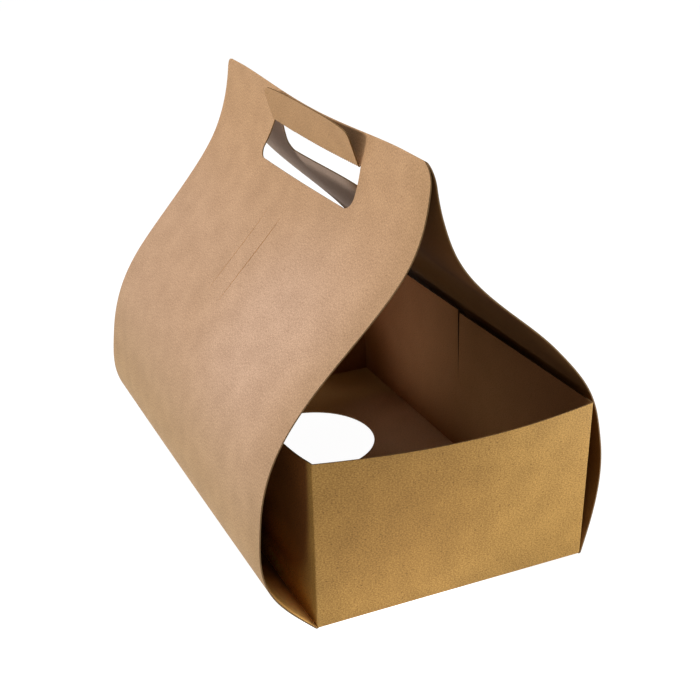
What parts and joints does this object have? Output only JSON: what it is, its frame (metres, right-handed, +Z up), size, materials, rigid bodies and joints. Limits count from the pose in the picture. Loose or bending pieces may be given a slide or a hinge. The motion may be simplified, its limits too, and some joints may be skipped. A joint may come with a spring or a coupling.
{
  "type": "cup carrier",
  "caption": "Folded kraft board cup carrier: an open tray with round cup holes, under a wrap that meets in a ridge handle with a hand hole.",
  "frame": {"origin": "middle of the floor's underside, on the surface that the carrier stands on", "axes": "+Z up from the floor to the ridge, +Y along the ridge, +X across; the ridge leans towards -X"},
  "size_m": [0.1608, 0.248, 0.1941],
  "materials": {
    "kraft_board": "matt unbleached kraft board"
  },
  "bodies": {
    "root": {"carrier": "kraft_board"}
  },
  "joints": []
}
